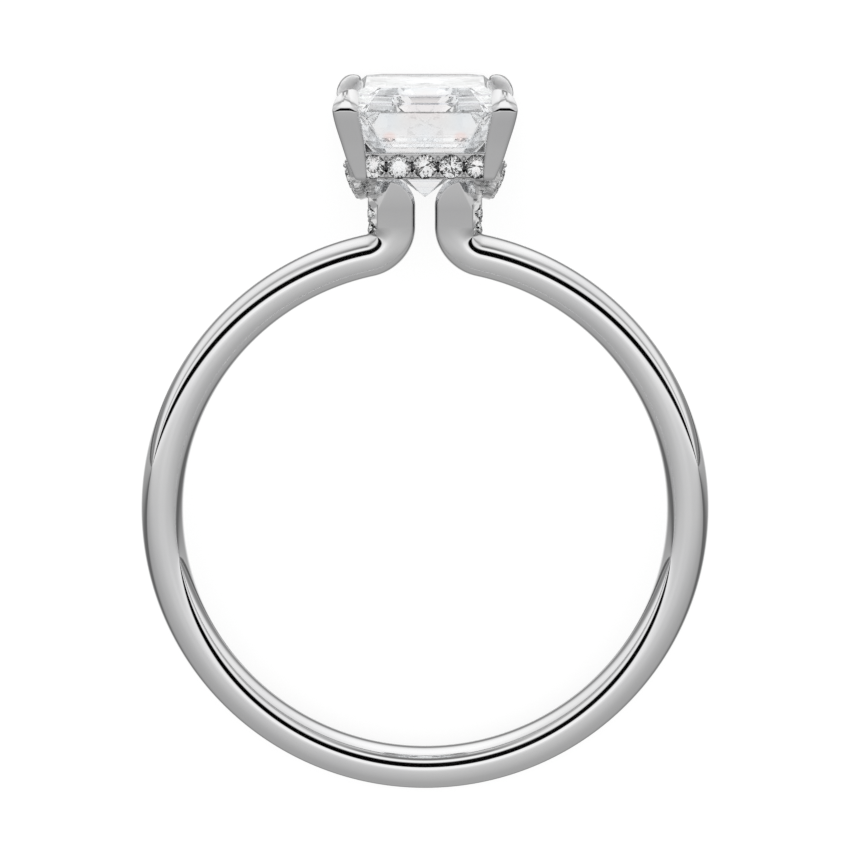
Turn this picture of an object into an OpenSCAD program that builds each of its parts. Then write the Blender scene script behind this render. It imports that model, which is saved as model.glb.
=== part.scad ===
// Hidden halo engagement ring, lying on its side as a loose ring lies.
// The band is an oval wire round the finger hole. Its two ends turn up through
// tight bends into twin posts, which carry a paved gallery (the hidden halo)
// and four claws round a rectangular step-cut stone.
//
// Ring axes while building: X across the finger, Y from the finger hole to the
// stone, Z along the finger. The last step lays the ring down.

/* [Band] */
// Radius of the finger hole
finger_r = 8.25; // [7.8:0.05:9.2]
// Thickness of the band, measured away from the finger
band_t = 1.43; // [1.38:0.01:1.48]
// Width of the band along the finger
band_w = 1.84; // [1.7:0.02:2]
// Width of the plain cylindrical stretch that bears on the finger
bore_w = 0.4; // [0.3:0.05:0.6]
// Share of the thickness that lies inside the widest point
inner_share = 0.48; // [0.45:0.01:0.51]

/* [Shoulders and posts] */
// Inner radius of the bend where the band turns up into a post
bend_r = 0.35; // [0.33:0.01:0.37]
// Distance of each bend centre from the middle of the ring
bend_x = 2.1; // [2.08:0.01:2.14]
// Straight height of a post above its bend
post_h = 0.69; // [0.66:0.01:0.72]
// Radius of the rounded inner top of a post
knuckle_r = 1; // [0.94:0.01:1.02]
// How far the seat strip for the post stones stands out of a post
strip_out = 0.2; // [0.16:0.01:0.22]
// Width of the seat strip along the finger
strip_w = 0.8; // [0.7:0.05:0.9]

/* [Gallery] */
// Height of the gallery bars
bar_h = 0.87; // [0.84:0.01:0.91]
// Underside of the front and back bars above the bend centres
bar_z = 1.88; // [1.84:0.01:1.92]
// Distance of the front and back faces from the middle
bar_y = 3.45; // [3.42:0.01:3.5]
// Thickness of the front and back bars
bar_t = 0.5; // [0.44:0.01:0.52]
// Depth of the dip in the side rails below the front bar
dip = 1.07; // [1.03:0.01:1.11]
// Half width of the gallery at the lowest point of its side rails
rail_x = 2.25; // [2.22:0.01:2.3]
// Thickness of the side rails
rail_t = 0.55; // [0.5:0.01:0.6]
// Outward lean of the side rails, in degrees
rail_lean = 16; // [14:1:18]

/* [Centre stone] */
// Half width of the stone at its girdle
stone_x = 2.72; // [2.7:0.01:2.74]
// Half length of the stone at its girdle
stone_y = 3.75; // [3.73:0.01:3.77]
// Cut of the corners at the girdle
stone_cut = 0.8; // [0.76:0.01:0.84]
// Height of the culet above the bend centres
culet_z = 1.05; // [1.04:0.01:1.1]
// Space between the stone and the claws that hold it
seat_gap = 0.03; // [0.02:0.01:0.05]

/* [Hidden] */

metal_colour = [0.78, 0.78, 0.79];
stone_colour = [0.92, 0.95, 0.97];

// ---- Band section -------------------------------------------------------
// Points are [distance from the finger side, place along the finger].
in_d = band_t * inner_share;
out_d = band_t - in_d;
half_w = band_w / 2;
seg = 9;

function out_quarter(s) = [in_d + out_d * sin(s), half_w * cos(s)];
function in_quarter(s) = [in_d - in_d * sin(s),
                          bore_w / 2 + (half_w - bore_w / 2) * cos(s)];
function mirrored(h) = [for (i = [len(h) - 1:-1:0]) [h[i][0], -h[i][1]]];
half_section = concat([for (i = [seg:-1:1]) out_quarter(90 * i / seg)],
                      [for (i = [0:seg]) in_quarter(90 * i / seg)]);
section = concat(half_section,
                 [for (p = mirrored(half_section)) if (abs(p[1]) > 0.001) p]);

// ---- Bends --------------------------------------------------------------
// Each bend centre lies where the band runs into its bend without a kink.
bend_out = bend_r + band_t;
bend_reach = finger_r + bend_out;
bend_y = sqrt(bend_reach * bend_reach - bend_x * bend_x);
bend_a = atan(bend_x / bend_y);

// The post's section is a hair larger all round, and the band runs a little
// way into it, so the two join over a face and not along an edge.
joint_step = 0.012;
joint_a = 0.6;
function grown(p) = [in_d + (p[0] - in_d) * (1 + joint_step / in_d),
                     p[1] * (1 + joint_step / half_w)];

// The section seen from the finger hole, and from a bend centre, for which
// the finger side is the far side.
module section_from_hole() polygon([for (p = section) [finger_r + p[0], p[1]]]);
module section_from_bend()
    polygon([for (p = section) let (q = grown(p)) [bend_out - q[0], q[1]]]);

module shank() {
    rotate([0, 0, 90 + bend_a - joint_a])
        rotate_extrude(angle = 360 - 2 * (bend_a - joint_a), $fn = 144)
            section_from_hole();
}

// The finger side of a post's section, out to the knuckle's own centre
knuckle_s = asin((knuckle_r - in_d) / out_d / (1 + joint_step / in_d));
knuckle_half = [for (p = concat(
    [for (i = [4:-1:1]) out_quarter(knuckle_s * i / 4)],
    [for (i = [0:seg]) in_quarter(90 * i / seg)])) grown(p)];
module knuckle_section()
    polygon([for (p = concat(knuckle_half, mirrored(knuckle_half)))
             [knuckle_r - p[0], p[1]]]);

// Left post: bend, straight stretch, and an inner top that rounds over
// outwards and runs into the side rail.
module post() {
    kx = bend_out - knuckle_r;
    root = 0.73;
    translate([-bend_x, bend_y, 0]) {
        rotate([0, 0, bend_a - 90])
            rotate_extrude(angle = 90 - bend_a, $fn = 72) section_from_bend();
        translate([0, post_h, 0]) rotate([90, 0, 0])
            linear_extrude(post_h) section_from_bend();
        translate([kx, post_h, 0]) {
            rotate_extrude(angle = 90, $fn = 72) knuckle_section();
            translate([-root, 0, 0]) rotate([90, 0, 90])
                linear_extrude(root) knuckle_section();
        }
        // Seat strip for the stones on the outer side, up to the side rail
        translate([bend_r - strip_out, -0.24, -strip_w / 2])
            cube([strip_out + 0.25, bar_z - dip + 0.44, strip_w]);
    }
}

// ---- Gallery ------------------------------------------------------------
bar_x = bend_x;
rail_end = 3.15;
rail_steps = 8;
function dip_at(n) = dip / cos(rail_lean) * pow(abs(n) / rail_end, 1.4);

module end_bar() {
    translate([-bar_x, bend_y + bar_z, bar_y - bar_t])
        cube([2 * bar_x, bar_h, bar_t]);
}

// Right rail: a leaning strip whose outline dips in the middle
module side_rail() {
    ns = [for (i = [-rail_steps:rail_steps]) rail_end * i / rail_steps];
    translate([rail_x, bend_y + bar_z - dip, 0]) rotate([0, 0, -rail_lean])
        translate([-rail_t, 0, 0]) rotate([0, 90, 0]) linear_extrude(rail_t)
            polygon(concat(
                [for (n = ns) [n, dip_at(n)]],
                [for (i = [len(ns) - 1:-1:0]) [ns[i], dip_at(ns[i]) + bar_h]]));
}

// ---- Claws --------------------------------------------------------------
// One row for each level section of the claw at the front right corner:
// [height above the bend centres, inner and outer side across the finger,
//  back and front along the finger, squareness of the outline]
claw_rows = [
    [1.86, 1.96, 2.24, 3.03, 3.50, 4.0],
    [1.95, 1.91, 2.33, 2.95, 3.61, 6.5],
    [2.10, 1.91, 2.40, 2.95, 3.63, 7.0],
    [2.50, 1.93, 2.57, 2.97, 3.69, 7.0],
    [3.06, 1.98, 2.75, 3.00, 3.78, 6.5],
    [3.60, 2.07, 2.92, 3.05, 3.89, 6.2],
    [3.95, 2.15, 3.01, 3.09, 3.96, 6.2],
    [4.16, 2.20, 3.045, 3.08, 3.985, 6.4],
    [4.25, 2.20, 3.04, 3.05, 3.97, 6.0],
    [4.38, 2.19, 3.01, 3.00, 3.91, 4.6],
    [4.52, 2.18, 2.95, 2.92, 3.83, 3.4],
    [4.64, 2.18, 2.87, 2.87, 3.74, 2.8],
    [4.73, 2.21, 2.77, 2.86, 3.60, 2.4],
    [4.79, 2.26, 2.67, 2.89, 3.45, 2.2],
    [4.83, 2.36, 2.55, 2.98, 3.25, 2.0]];
claw_sides = 20;

// A coordinate of a rounded rectangle of squareness e, from -1 to 1
function squared(x, e) = sign(x) * pow(abs(x), 2 / e);
function claw_ring(r) = [for (i = [0:claw_sides - 1])
    let (a = 360 * (i + 0.5) / claw_sides)
    [(r[1] + r[2]) / 2 + (r[2] - r[1]) / 2 * squared(cos(a), r[5]), bend_y + r[0],
     (r[3] + r[4]) / 2 + (r[4] - r[3]) / 2 * squared(sin(a), r[5])]];
claw_points = [for (r = claw_rows) each claw_ring(r)];

module claw() {
    m = claw_sides;
    last = (len(claw_rows) - 1) * m;
    polyhedron(claw_points, concat(
        [[for (i = [m - 1:-1:0]) i]],
        [[for (i = [0:m - 1]) last + i]],
        [for (j = [0:len(claw_rows) - 2]) for (i = [0:m - 1])
            [j * m + i, (j + 1) * m + (i + 1) % m, (j + 1) * m + i]],
        [for (j = [0:len(claw_rows) - 2]) for (i = [0:m - 1])
            [j * m + i, j * m + (i + 1) % m, (j + 1) * m + (i + 1) % m]]));
}

// ---- Centre stone -------------------------------------------------------
// Steps from the table down: [drop to the next level, inset of this level]
girdle_t = 0.05;
crown_steps = [[0.23, 0.735], [0.25, 0.445], [0.24, 0.195]];
pavilion_steps = [[1.15, 0], [1.05, 0.776], [0.84, 1.689]];
crown_h = crown_steps[0][0] + crown_steps[1][0] + crown_steps[2][0];
pavilion_h = pavilion_steps[0][0] + pavilion_steps[1][0] + pavilion_steps[2][0];
table_y = bend_y + culet_z + pavilion_h + girdle_t + crown_h;

function drop_to(steps, i) = i == 0 ? 0 : steps[i - 1][0] + drop_to(steps, i - 1);
crown_levels = [for (i = [0:2]) [drop_to(crown_steps, i), crown_steps[i][1],
                                 stone_cut - 0.35 * crown_steps[i][1]]];
pavilion_levels = [for (i = [0:2])
    [crown_h + girdle_t + drop_to(pavilion_steps, i), pavilion_steps[i][1],
     stone_cut * (1 - pavilion_steps[i][1] / stone_x)]];
stone_levels = concat(crown_levels, [[crown_h, 0, stone_cut]], pavilion_levels);

function octagon(x, z, c, y) = [
    [x, y, z - c], [x - c, y, z], [c - x, y, z], [-x, y, z - c],
    [-x, y, c - z], [c - x, y, -z], [x - c, y, -z], [x, y, c - z]];

// The stone, grown all round by g
module cut_stone(g) {
    rings = len(stone_levels);
    keel_y = table_y - crown_h - girdle_t - pavilion_h - 1.4 * g;
    keel_z = stone_y - stone_x;
    points = concat(
        [for (i = [0:rings - 1]) let (l = stone_levels[i])
            each octagon(stone_x - l[1] + g, stone_y - l[1] + g, l[2] + 0.6 * g,
                         table_y - l[0] + (i < 4 ? g : -0.4 * g))],
        [[0, keel_y, keel_z], [0, keel_y, -keel_z]]);
    b = (rings - 1) * 8;
    k0 = rings * 8;
    k1 = k0 + 1;
    polyhedron(points, concat(
        [[for (i = [0:7]) i]],
        [for (j = [0:rings - 2]) for (i = [0:7])
            [j * 8 + i, (j + 1) * 8 + i, (j + 1) * 8 + (i + 1) % 8, j * 8 + (i + 1) % 8]],
        [[b, k0, b + 1], [b + 1, k0, b + 2], [b + 2, k0, b + 3],
         [b + 3, k0, k1, b + 4],
         [b + 4, k1, b + 5], [b + 5, k1, b + 6], [b + 6, k1, b + 7],
         [b + 7, k1, k0, b]]));
}

// ---- Resting on its side ------------------------------------------------
// The ring rests on the two back claws and on the back edge of the band, so
// its tilt is the one at which both are equally low.
function claw_low(a) = min([for (p = claw_points) p[1] * sin(a) - p[2] * cos(a)]);
function band_low(a) = min([for (p = section)
    -(finger_r + p[0]) * sin(a) - abs(p[1]) * cos(a)]);
function rest_tilt(lo, hi, n) = let (m = (lo + hi) / 2) n == 0 ? m :
    claw_low(m) < band_low(m) ? rest_tilt(m, hi, n - 1) : rest_tilt(lo, m, n - 1);
tilt = rest_tilt(3, 14, 30);
low_end = min([for (p = section)
    -(finger_r + p[0]) * cos(tilt) - abs(p[1]) * sin(tilt)]);
high_end = max(max([for (p = claw_points) p[1] * cos(tilt) + p[2] * sin(tilt)]),
    table_y * cos(tilt) + (stone_y - crown_steps[0][1]) * sin(tilt));

module lay_down() {
    translate([0, -(low_end + high_end) / 2, -band_low(tilt)])
        rotate([tilt, 0, 0]) children();
}

// ---- Pieces -------------------------------------------------------------
module mounting() {
    color(metal_colour) lay_down() {
        shank();
        post();
        mirror([1, 0, 0]) post();
        end_bar();
        mirror([0, 0, 1]) end_bar();
        side_rail();
        mirror([1, 0, 0]) side_rail();
        difference() {
            union() {
                claw();
                mirror([1, 0, 0]) claw();
                mirror([0, 0, 1]) claw();
                mirror([1, 0, 0]) mirror([0, 0, 1]) claw();
            }
            cut_stone(seat_gap);
        }
    }
}

module centre_stone() {
    color(stone_colour) lay_down() cut_stone(0);
}

mounting();
centre_stone();
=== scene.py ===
import math
import random

import bpy
import bmesh
import numpy as np
from mathutils import Matrix, Vector


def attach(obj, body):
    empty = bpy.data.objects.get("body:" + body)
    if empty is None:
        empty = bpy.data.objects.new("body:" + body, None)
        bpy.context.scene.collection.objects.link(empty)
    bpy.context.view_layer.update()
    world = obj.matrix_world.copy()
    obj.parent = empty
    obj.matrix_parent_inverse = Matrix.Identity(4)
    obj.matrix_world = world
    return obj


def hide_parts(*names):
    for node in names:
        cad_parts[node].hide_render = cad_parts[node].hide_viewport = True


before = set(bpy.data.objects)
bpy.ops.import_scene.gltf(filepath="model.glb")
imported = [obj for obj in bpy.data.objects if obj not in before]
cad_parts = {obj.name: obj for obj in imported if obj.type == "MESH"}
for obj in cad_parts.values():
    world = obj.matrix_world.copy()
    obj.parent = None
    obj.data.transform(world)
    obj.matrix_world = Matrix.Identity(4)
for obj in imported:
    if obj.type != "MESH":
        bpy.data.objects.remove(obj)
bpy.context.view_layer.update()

# ---------------------------------------------------------------- ring axes
# Everything is drawn in millimetres in the ring's own axes: u across the
# finger, v from the finger hole to the stone, n along the finger (front).
# At the end it is laid down as the frame is and turned into metres.
TILT = math.radians(7.6172)
CT, ST = math.cos(TILT), math.sin(TILT)
SHIFT = (0.0, -2.66727, 2.0997)


def to_world(points):
    p = np.asarray(points, dtype=float)
    return np.stack([p[:, 0] + SHIFT[0],
                     p[:, 1] * CT - p[:, 2] * ST + SHIFT[1],
                     p[:, 1] * ST + p[:, 2] * CT + SHIFT[2]], axis=1) * 0.001


def turn(vector):
    u, v, n = vector
    return Vector((u, v * CT - n * ST, v * ST + n * CT))


# -------------------------------------------------------------- dimensions
FINGER_R = 8.25
BAND_T, BAND_W = 1.43, 1.84
IN_D = BAND_T * 0.48
OUT_D = BAND_T - IN_D
HALF_W = BAND_W / 2
BEND_X, BEND_R = 2.1, 0.35
BEND_OUT = BEND_R + BAND_T
BEND_V = math.sqrt((FINGER_R + BEND_OUT) ** 2 - BEND_X ** 2)
BEND_A = math.atan(BEND_X / BEND_V)
POST_H, KNUCKLE_R = 0.69, 1.0
BAR_V = BEND_V + 1.88
BAR_H, BAR_N, BAR_T = 0.87, 3.45, 0.5
DIP, RAIL_U, RAIL_T = 1.07, 2.25, 0.55
LEAN = math.radians(16)
STONE_U, STONE_N, STONE_CUT = 2.72, 3.75, 0.8
CROWN = [(0.23, 0.735), (0.25, 0.445), (0.24, 0.195)]
PAVILION = [(1.15, 0.0), (1.05, 0.776), (0.84, 1.689)]
GIRDLE = 0.05
CROWN_H = sum(c[0] for c in CROWN)
PAVILION_H = sum(c[0] for c in PAVILION)
TABLE_V = BEND_V + 1.05 + PAVILION_H + GIRDLE + CROWN_H
SEAT_GAP = 0.03


# ------------------------------------------------------------ mesh helpers
def new_object(name, points, faces):
    mesh = bpy.data.meshes.new(name)
    mesh.from_pydata([tuple(map(float, p)) for p in points], [], faces)
    mesh.validate()
    obj = bpy.data.objects.new(name, mesh)
    bpy.context.scene.collection.objects.link(obj)
    return obj


def tidy(obj, merge=1e-5):
    """Merges doubled points and turns all faces outward."""
    b = bmesh.new()
    b.from_mesh(obj.data)
    bmesh.ops.remove_doubles(b, verts=b.verts, dist=merge)
    bmesh.ops.dissolve_degenerate(b, edges=b.edges, dist=merge)
    bmesh.ops.recalc_face_normals(b, faces=b.faces)
    b.to_mesh(obj.data)
    b.free()
    return obj


def loft(rings, closed=False):
    """Points and faces of a tube through rings of equal length."""
    m = len(rings[0])
    points = [p for r in rings for p in r]
    faces = []
    count = len(rings)
    for j in range(count if closed else count - 1):
        a, b = j * m, ((j + 1) % count) * m
        for i in range(m):
            k = (i + 1) % m
            faces.append((a + i, a + k, b + k, b + i))
    if not closed:
        faces.append(tuple(reversed(range(m))))
        faces.append(tuple(range((count - 1) * m, count * m)))
    return points, faces


def joined(parts):
    points, faces = [], []
    for p, f in parts:
        o = len(points)
        points += list(p)
        faces += [tuple(i + o for i in face) for face in f]
    return points, faces


def mirror_part(part, axis):
    points, faces = part
    out = []
    for p in points:
        q = list(p)
        q[axis] = -q[axis]
        out.append(tuple(q))
    return out, [tuple(reversed(f)) for f in faces]


def combine(base, other, how):
    mod = base.modifiers.new("cut", "BOOLEAN")
    mod.operation = how
    mod.solver = "MANIFOLD"
    mod.object = other
    bpy.context.view_layer.update()
    dg = bpy.context.evaluated_depsgraph_get()
    mesh = bpy.data.meshes.new_from_object(base.evaluated_get(dg))
    base.modifiers.remove(mod)
    old = base.data
    base.data = mesh
    bpy.data.meshes.remove(old)
    bpy.data.objects.remove(other)
    return base


def basis(axis):
    z = Vector(axis).normalized()
    x = Vector((0, 0, 1)).cross(z)
    if x.length < 1e-4:
        x = Vector((1, 0, 0))
    x.normalize()
    return x, z.cross(x), z


def lay(obj, smooth=None):
    """Ring millimetres to metres in the frame, with smooth or flat faces."""
    mesh = obj.data
    co = np.empty(len(mesh.vertices) * 3)
    mesh.vertices.foreach_get("co", co)
    mesh.vertices.foreach_set("co", to_world(co.reshape(-1, 3)).ravel())
    mesh.polygons.foreach_set("use_smooth", [smooth is not None] * len(mesh.polygons))
    mesh.update()
    if smooth is not None:
        mesh.set_sharp_from_angle(angle=math.radians(smooth))
    return obj


# ------------------------------------------------------------- the band
POST_T = 1.30            # the posts are a little thinner than the band
RIM, RIM_DEEP = 0.15, 0.40   # their rounded inner edge: across, along the finger
ROUND = 0.05             # their outer edge


def power(x, e):
    return math.copysign(abs(x) ** (2 / e), x)


def section(count=80):
    """Band, closed outline: [distance from the finger side, along the finger]."""
    out = []
    for i in range(count):
        a = 2 * math.pi * i / count
        s, c = math.sin(a), math.cos(a)
        out.append((IN_D + (OUT_D if s >= 0 else IN_D) * s, HALF_W * c))
    return out


def post_outer(f):
    """Post, outer quarter of the outline, f from 0 to 1."""
    flat = POST_T - ROUND
    if f < 0.72:
        return (IN_D + (flat - IN_D) * f / 0.72, HALF_W)
    if f < 0.9:
        t = (f - 0.72) / 0.18 * math.pi / 2
        return (flat + ROUND * math.sin(t), HALF_W - ROUND * (1 - math.cos(t)))
    return (POST_T, (HALF_W - ROUND) * (1 - f) / 0.1)


def post_inner(f):
    """Post, inner quarter of the outline, f from 0 to 1."""
    if f < 0.4:
        return (IN_D + (RIM - IN_D) * f / 0.4, HALF_W)
    if f < 0.88:
        t = (f - 0.4) / 0.48 * math.pi / 2
        return (RIM * (1 - math.sin(t)), HALF_W - RIM_DEEP * (1 - math.cos(t)))
    return (0.0, (HALF_W - RIM_DEEP) * (1 - f) / 0.12)


def post_section(count=80):
    """Posts, the same outline points: flat faces, rounded towards the gap."""
    out = []
    for i in range(count):
        a = 4 * i / count
        quarter, f = int(a), a - int(a)
        if quarter == 0:
            p, n = post_outer(f)
        elif quarter == 1:
            p, n = post_outer(1 - f)
        elif quarter == 2:
            p, n = post_inner(f)
        else:
            p, n = post_inner(1 - f)
        out.append((p, -n if quarter in (1, 2) else n))
    return out


def eased(u, v, n):
    """Beyond a diagonal towards the side rail the posts' faces are bevelled."""
    s = (abs(u) - 1.230) * 0.902 + (v - BEND_V - 1.542) * 0.431 + 0.10
    if s <= 0:
        return (u, v, n)
    drop = 0.42 * (s * s / 0.08 if s < 0.04 else s - 0.02)
    drop += 0.26 * min(max(s - 0.24, 0.0), 0.05)
    if s > 0.3:
        # shallow folds that fan out towards the rail
        turned = math.atan2(1.50 - (v - BEND_V), abs(u) - 1.33)
        drop += 0.005 * math.sin(turned * 2 * math.pi / 0.24) * min((s - 0.3) / 0.1, 1.0)
    return (u, v, n * (1 - min(drop, 0.40) / HALF_W))


def band():
    oval = section()
    post = post_section()
    rings = []
    straight = POST_H + 0.03

    def from_bend(side, angle, lift, sec=post):
        ring = []
        for p, n in sec:
            r = BEND_OUT - p
            ring.append(eased(side * (-BEND_X + r * math.cos(angle)),
                              BEND_V + r * math.sin(angle) + lift, n))
        return ring

    # left post from its top down, left bend, round the hole, right bend, up
    up = 22
    for i in range(up):
        rings.append(from_bend(1, 0.0, straight * (1 - i / up)))
    steps = 44
    low = BEND_A - math.pi / 2

    def squareness(i):
        f = max(1 - i / (0.72 * steps), 0.0)
        f = f * f * (3 - 2 * f)
        return [(p0 + (p1 - p0) * f, n0 + (n1 - n0) * f)
                for (p0, n0), (p1, n1) in zip(oval, post)]

    for i in range(steps):
        rings.append(from_bend(1, low * i / steps, 0.0, squareness(i)))
    arc = 264
    for i in range(arc + 1):
        t = BEND_A + (2 * math.pi - 2 * BEND_A) * i / arc
        rings.append([(-(FINGER_R + p) * math.sin(t), (FINGER_R + p) * math.cos(t), n)
                      for p, n in oval])
    for i in range(steps - 1, -1, -1):
        rings.append(from_bend(-1, low * i / steps, 0.0, squareness(i)))
    for i in range(up - 1, -1, -1):
        rings.append(from_bend(-1, 0.0, straight * (1 - i / up)))
    return loft(rings)


def knuckle():
    """Left post's rounded inner top, running outwards into the side rail."""
    grow = 0.002
    half = [(KNUCKLE_R - 0.03 * i, HALF_W) for i in range(11)]
    half += [post_inner(i / 40) for i in range(41)]
    half = [(p if p > RIM else p - grow * (1 - p / RIM), n + grow if n > 1e-4 else 0.0)
            for p, n in half]
    ring2 = half + [(p, -n) for p, n in reversed(half) if n > 1e-4]
    ku = -BEND_X + BEND_OUT - KNUCKLE_R
    kv = BEND_V + POST_H
    rings = [[eased(ku + KNUCKLE_R - p, kv - 0.1, n) for p, n in ring2],
             [eased(ku + KNUCKLE_R - p, kv - 0.05, n) for p, n in ring2]]
    steps = 48
    for i in range(steps + 1):
        a = math.pi / 2 * i / steps
        rings.append([eased(ku + (KNUCKLE_R - p) * math.cos(a),
                            kv + (KNUCKLE_R - p) * math.sin(a), n) for p, n in ring2])
    for i in range(1, 15):
        x = 0.73 * i / 14
        lift = 0.9 * max(0.0, x - 0.18)
        rings.append([eased(ku - x, kv + lift + (KNUCKLE_R - p) * (1 - lift), n)
                      for p, n in ring2])
    return loft(rings)


def post_filler():
    """Outer part of the left post's top, up into the knuckle's root."""
    grow = 0.0015
    half = [post_outer(0.1 + 0.9 * i / 30) for i in range(31)]
    half = [(p + grow, n + grow if n > 1e-4 else 0.0) for p, n in half]
    outline = half + [(p, -n) for p, n in reversed(half) if n > 1e-4]
    return loft([[eased(-BEND_X + BEND_OUT - p, BEND_V + 0.62 + 0.03 * i, n)
                  for p, n in outline] for i in range(17)])


def seat_strip():
    """Narrow wall on the outer side of the left post, between its stones."""
    u_out, u_in = -1.93, -1.5
    v0, v1 = BEND_V - 0.24, BAR_V - DIP + 0.2
    rows = []
    r = 0.07
    w = 0.09
    outline = []
    for cx, cy, a0 in ((u_out + r, w - r, 90), (u_out + r, -(w - r), 180)):
        for i in range(7):
            a = math.radians(a0 + 15 * i)
            outline.append((cx + r * math.cos(a), cy + r * math.sin(a)))
    outline += [(u_in, -w), (u_in, w)]
    for v, inset in ((v0, 0.12), (v0 + 0.03, 0.055), (v0 + 0.09, 0.0), (v1, 0.0)):
        rows.append([(min(x + inset, u_in), v, n * (1 - inset)) for x, n in outline])
    return loft(rows)


# ------------------------------------------------------------- the gallery
def channel_profile(h, t, t_low=None, depth=0.075, low=0.045, high=0.065, r=0.03):
    """Cross section of a paved bar: [out of the face, up], face at 0."""
    pts = []
    for i in range(5):
        a = math.radians(-90 + 22.5 * i)
        pts.append((-r + r * math.cos(a), r + r * math.sin(a)))
    pts += [(0.0, low), (-depth, low + 0.02), (-depth, h - high - 0.02), (0.0, h - high)]
    for i in range(5):
        a = math.radians(22.5 * i)
        pts.append((-r + r * math.cos(a), h - r + r * math.sin(a)))
    pts += [(-t, h), (-t, 0.45 * h), (-(t_low or t), 0.0)]
    return pts


def end_bar():
    prof = channel_profile(BAR_H, BAR_T)
    rings = []
    for i in range(13):
        u = -BEND_X + 2 * BEND_X * i / 12
        rings.append([(u, BAR_V + h, BAR_N + w) for w, h in prof])
    return loft(rings)


def dip_at(n):
    return DIP / math.cos(LEAN) * (abs(n) / 3.15) ** 1.4


RAIL_NORMAL = Vector((math.cos(LEAN), -math.sin(LEAN), 0))


def rail_point(w, h, n):
    """Right rail: w out of its face, h up along the leaning face."""
    return (RAIL_U + h * math.sin(LEAN) + w * math.cos(LEAN),
            BAR_V - DIP + h * math.cos(LEAN) - w * math.sin(LEAN), n)


def rail_height(n):
    """Height of a side rail, a little less where it runs in behind the claws."""
    f = min(max((abs(n) - 2.35) / 0.7, 0.0), 1.0)
    return BAR_H - 0.20 * f * f * (3 - 2 * f)


def side_rail():
    """Right rail: low in the middle, its foot wider inwards near the ends."""
    rings = []
    ns = [3.01 * i / 24 for i in range(25)]
    ns += [3.01 + 0.14 * math.sin(math.radians(a)) for a in (20, 38, 54, 68, 80)]
    ns = [-n for n in reversed(ns[1:])] + ns
    for n in ns:
        x = min(abs(n) / 3.15, 1.0)
        top = rail_height(n)
        prof = [(w - 0.06, h) for w, h in
                channel_profile(top, RAIL_T - 0.06, RAIL_T - 0.06 + 0.55 * x ** 1.6,
                                0.003, r=0.05)]
        f = math.sqrt(max(1 - (max(abs(n) - 3.01, 0.0) / 0.14) ** 2, 0.03))
        rings.append([rail_point(-0.25 + (w + 0.25) * f,
                                 dip_at(n) + top / 2 + (h - top / 2) * f, n)
                      for w, h in prof])
    return loft(rings)


# --------------------------------------------------------------- the claws
# Level sections of the front right claw: height above the bend centres, inner
# and outer side across, back and front along the finger, squareness.
CLAW_ROWS = [
    (1.86, 1.96, 2.24, 3.03, 3.50, 4.0),
    (1.875, 1.93, 2.28, 2.99, 3.56, 5.0),
    (1.95, 1.91, 2.33, 2.95, 3.61, 6.5),
    (2.10, 1.91, 2.40, 2.95, 3.63, 7.0),
    (2.50, 1.93, 2.57, 2.97, 3.69, 7.0),
    (3.06, 1.98, 2.75, 3.00, 3.78, 6.5),
    (3.60, 2.07, 2.92, 3.05, 3.89, 6.2),
    (3.95, 2.15, 3.01, 3.09, 3.96, 6.2),
    (4.16, 2.20, 3.045, 3.08, 3.985, 6.4),
    (4.25, 2.20, 3.04, 3.05, 3.985, 6.4),
    (4.31, 2.20, 3.03, 3.03, 3.975, 6.0),
    (4.38, 2.19, 3.01, 3.00, 3.955, 5.4),
    (4.45, 2.18, 2.985, 2.96, 3.930, 4.8),
    (4.52, 2.18, 2.95, 2.92, 3.895, 4.2),
    (4.60, 2.18, 2.90, 2.88, 3.850, 3.6),
    (4.67, 2.19, 2.84, 2.86, 3.780, 2.8),
    (4.73, 2.21, 2.77, 2.86, 3.69, 2.6),
    (4.78, 2.25, 2.69, 2.88, 3.57, 2.4),
    (4.815, 2.31, 2.60, 2.93, 3.40, 2.2),
    (4.83, 2.40, 2.51, 3.02, 3.18, 2.0)]


def smooth_rows(rows, sub):
    a = np.array(rows, dtype=float)
    out = []
    for i in range(len(a) - 1):
        p0 = a[max(i - 1, 0)]
        p1, p2 = a[i], a[i + 1]
        p3 = a[min(i + 2, len(a) - 1)]
        for j in range(sub):
            t = j / sub
            out.append(0.5 * (2 * p1 + (p2 - p0) * t
                              + (2 * p0 - 5 * p1 + 4 * p2 - p3) * t * t
                              + (3 * p1 - p0 - 3 * p2 + p3) * t ** 3))
    out.append(a[-1])
    return out


def brow(u, h):
    """Front face of a claw above its arched edge: how far along the finger."""
    x = (u - 2.62) / 0.42
    t = h - (4.22 - 0.16 * x * x)
    if t <= 0:
        return 9.0
    band = 0.07 + 0.18 * math.exp(-(x / 0.16) ** 2)
    back = 0.0
    # stretches of growing slope: [length, slope at its start, slope at its end]
    for length, s0, s1 in ((0.012, 0.0, 0.29), (band, 0.29, 0.57), (0.17, 0.63, 0.74),
                           (0.07, 0.80, 1.20), (0.60, 1.40, 3.2)):
        d = min(t, length)
        back += s0 * d + (s1 - s0) * d * d / (2 * length)
        t -= d
        if t <= 0:
            break
    return 3.978 - back


def claw():
    rings = []
    count = 84
    for h, u0, u1, n0, n1, e in smooth_rows(CLAW_ROWS, 6):
        ring = []
        for i in range(count):
            a = 2 * math.pi * (i + 0.5) / count
            u = (u0 + u1) / 2 + (u1 - u0) / 2 * power(math.cos(a), e)
            n = (n0 + n1) / 2 + (n1 - n0) / 2 * power(math.sin(a), e)
            front = brow(u, h)
            if n > front:
                n = front + 0.004 * (n - front)
            ring.append((u, BEND_V + h, n))
        rings.append(ring)
    return loft(rings)


# --------------------------------------------------------- the centre stone
def octagon(x, z, c, y):
    return [(x, y, z - c), (x - c, y, z), (c - x, y, z), (-x, y, z - c),
            (-x, y, c - z), (c - x, y, -z), (x - c, y, -z), (x, y, c - z)]


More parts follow.
